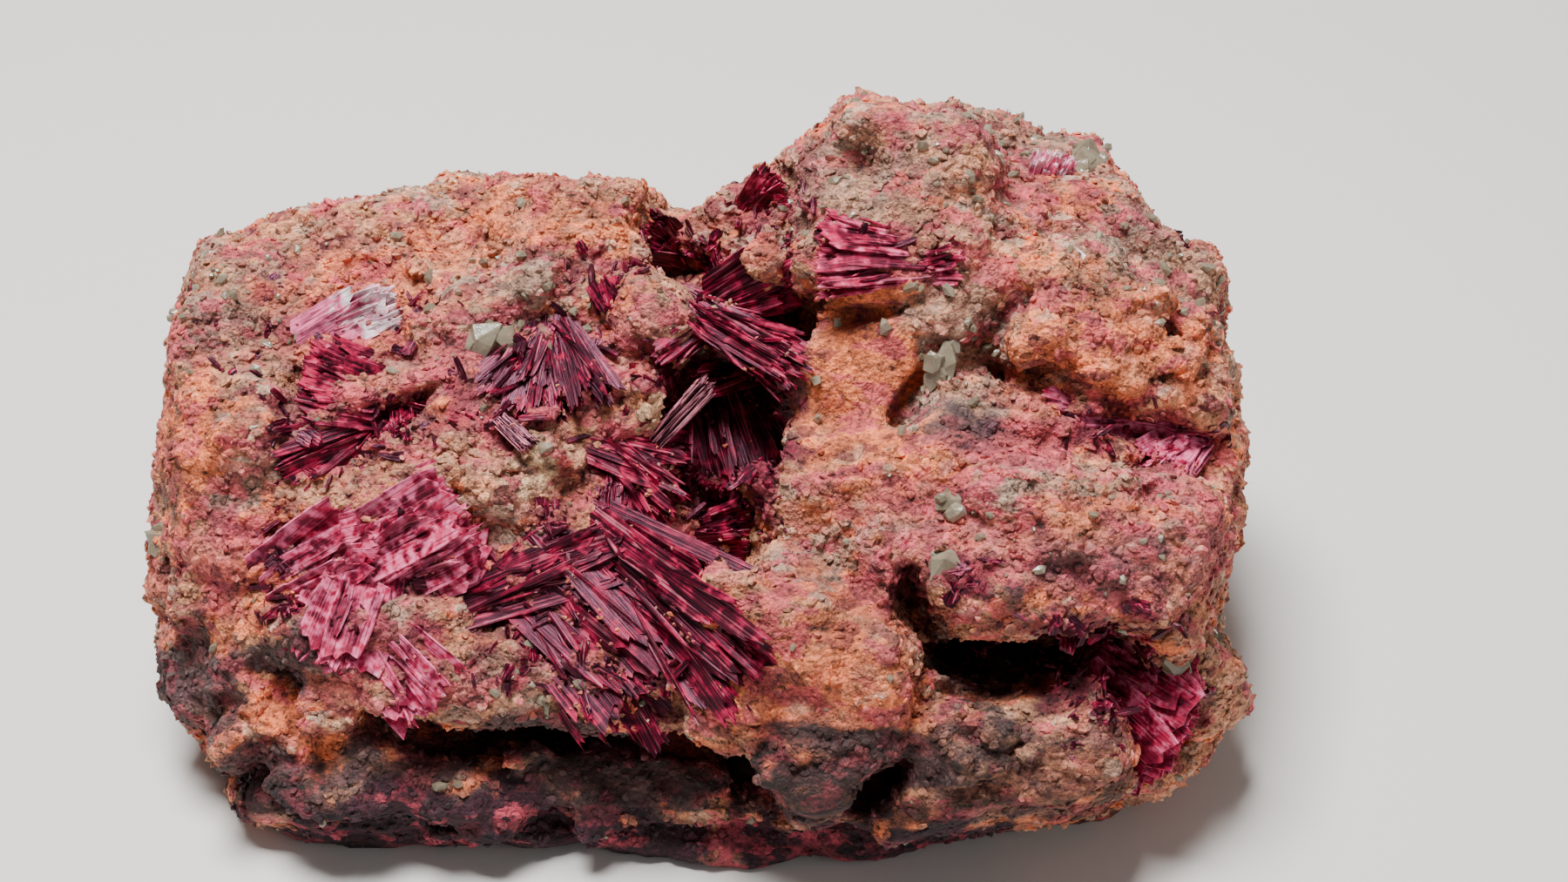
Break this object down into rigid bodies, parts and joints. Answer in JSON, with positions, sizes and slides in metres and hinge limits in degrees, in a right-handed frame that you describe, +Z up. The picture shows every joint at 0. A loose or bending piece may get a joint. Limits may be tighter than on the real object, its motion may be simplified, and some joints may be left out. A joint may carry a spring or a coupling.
{
  "type": "erythrite specimen",
  "caption": "Mineral specimen: a rough granular block with crimson erythrite blades in sprays and hollows, and pale quartz crystals.",
  "frame": {"origin": "middle of the block's length and depth, on the surface it stands on", "axes": "+X along the length, +Y to the back, +Z up; the broken face looks towards -Y and up"},
  "size_m": [0.0832, 0.0528, 0.0466],
  "materials": {
    "matrix": "rough granular rock, salmon to orange with pink, tan and grey grains",
    "erythrite": "glassy to pearly blades, near black to crimson and magenta, finely striated along their length",
    "quartz": "greasy to glassy, milky grey-green, translucent"
  },
  "bodies": {
    "root": {"matrix": "matrix", "erythrite_pale_blade": "erythrite", "erythrite_left_block": "erythrite", "erythrite_left_blade": "erythrite", "erythrite_radial_spray": "erythrite", "erythrite_tuft": "erythrite", "erythrite_cross_blades": "erythrite", "erythrite_mid_blades": "erythrite", "erythrite_shards": "erythrite", "erythrite_central_spray": "erythrite", "erythrite_left_plates": "erythrite", "erythrite_nest": "erythrite", "erythrite_notch": "erythrite", "erythrite_ridge_flake": "erythrite", "erythrite_right_crevice": "erythrite", "erythrite_right_plate": "erythrite", "vug_crust": "erythrite", "hollow_crust": "erythrite", "cave_crust": "erythrite", "quartz_pale": "quartz", "quartz_left_prism": "quartz", "quartz_grey": "quartz", "quartz_long_lump": "quartz", "quartz_ridge": "quartz", "quartz_right": "quartz", "quartz_right_edge": "quartz", "quartz_left_chip": "quartz", "quartz_crown": "quartz", "quartz_top": "quartz", "quartz_left_top": "quartz", "quartz_slope": "quartz", "quartz_valley": "quartz"}
  },
  "joints": []
}
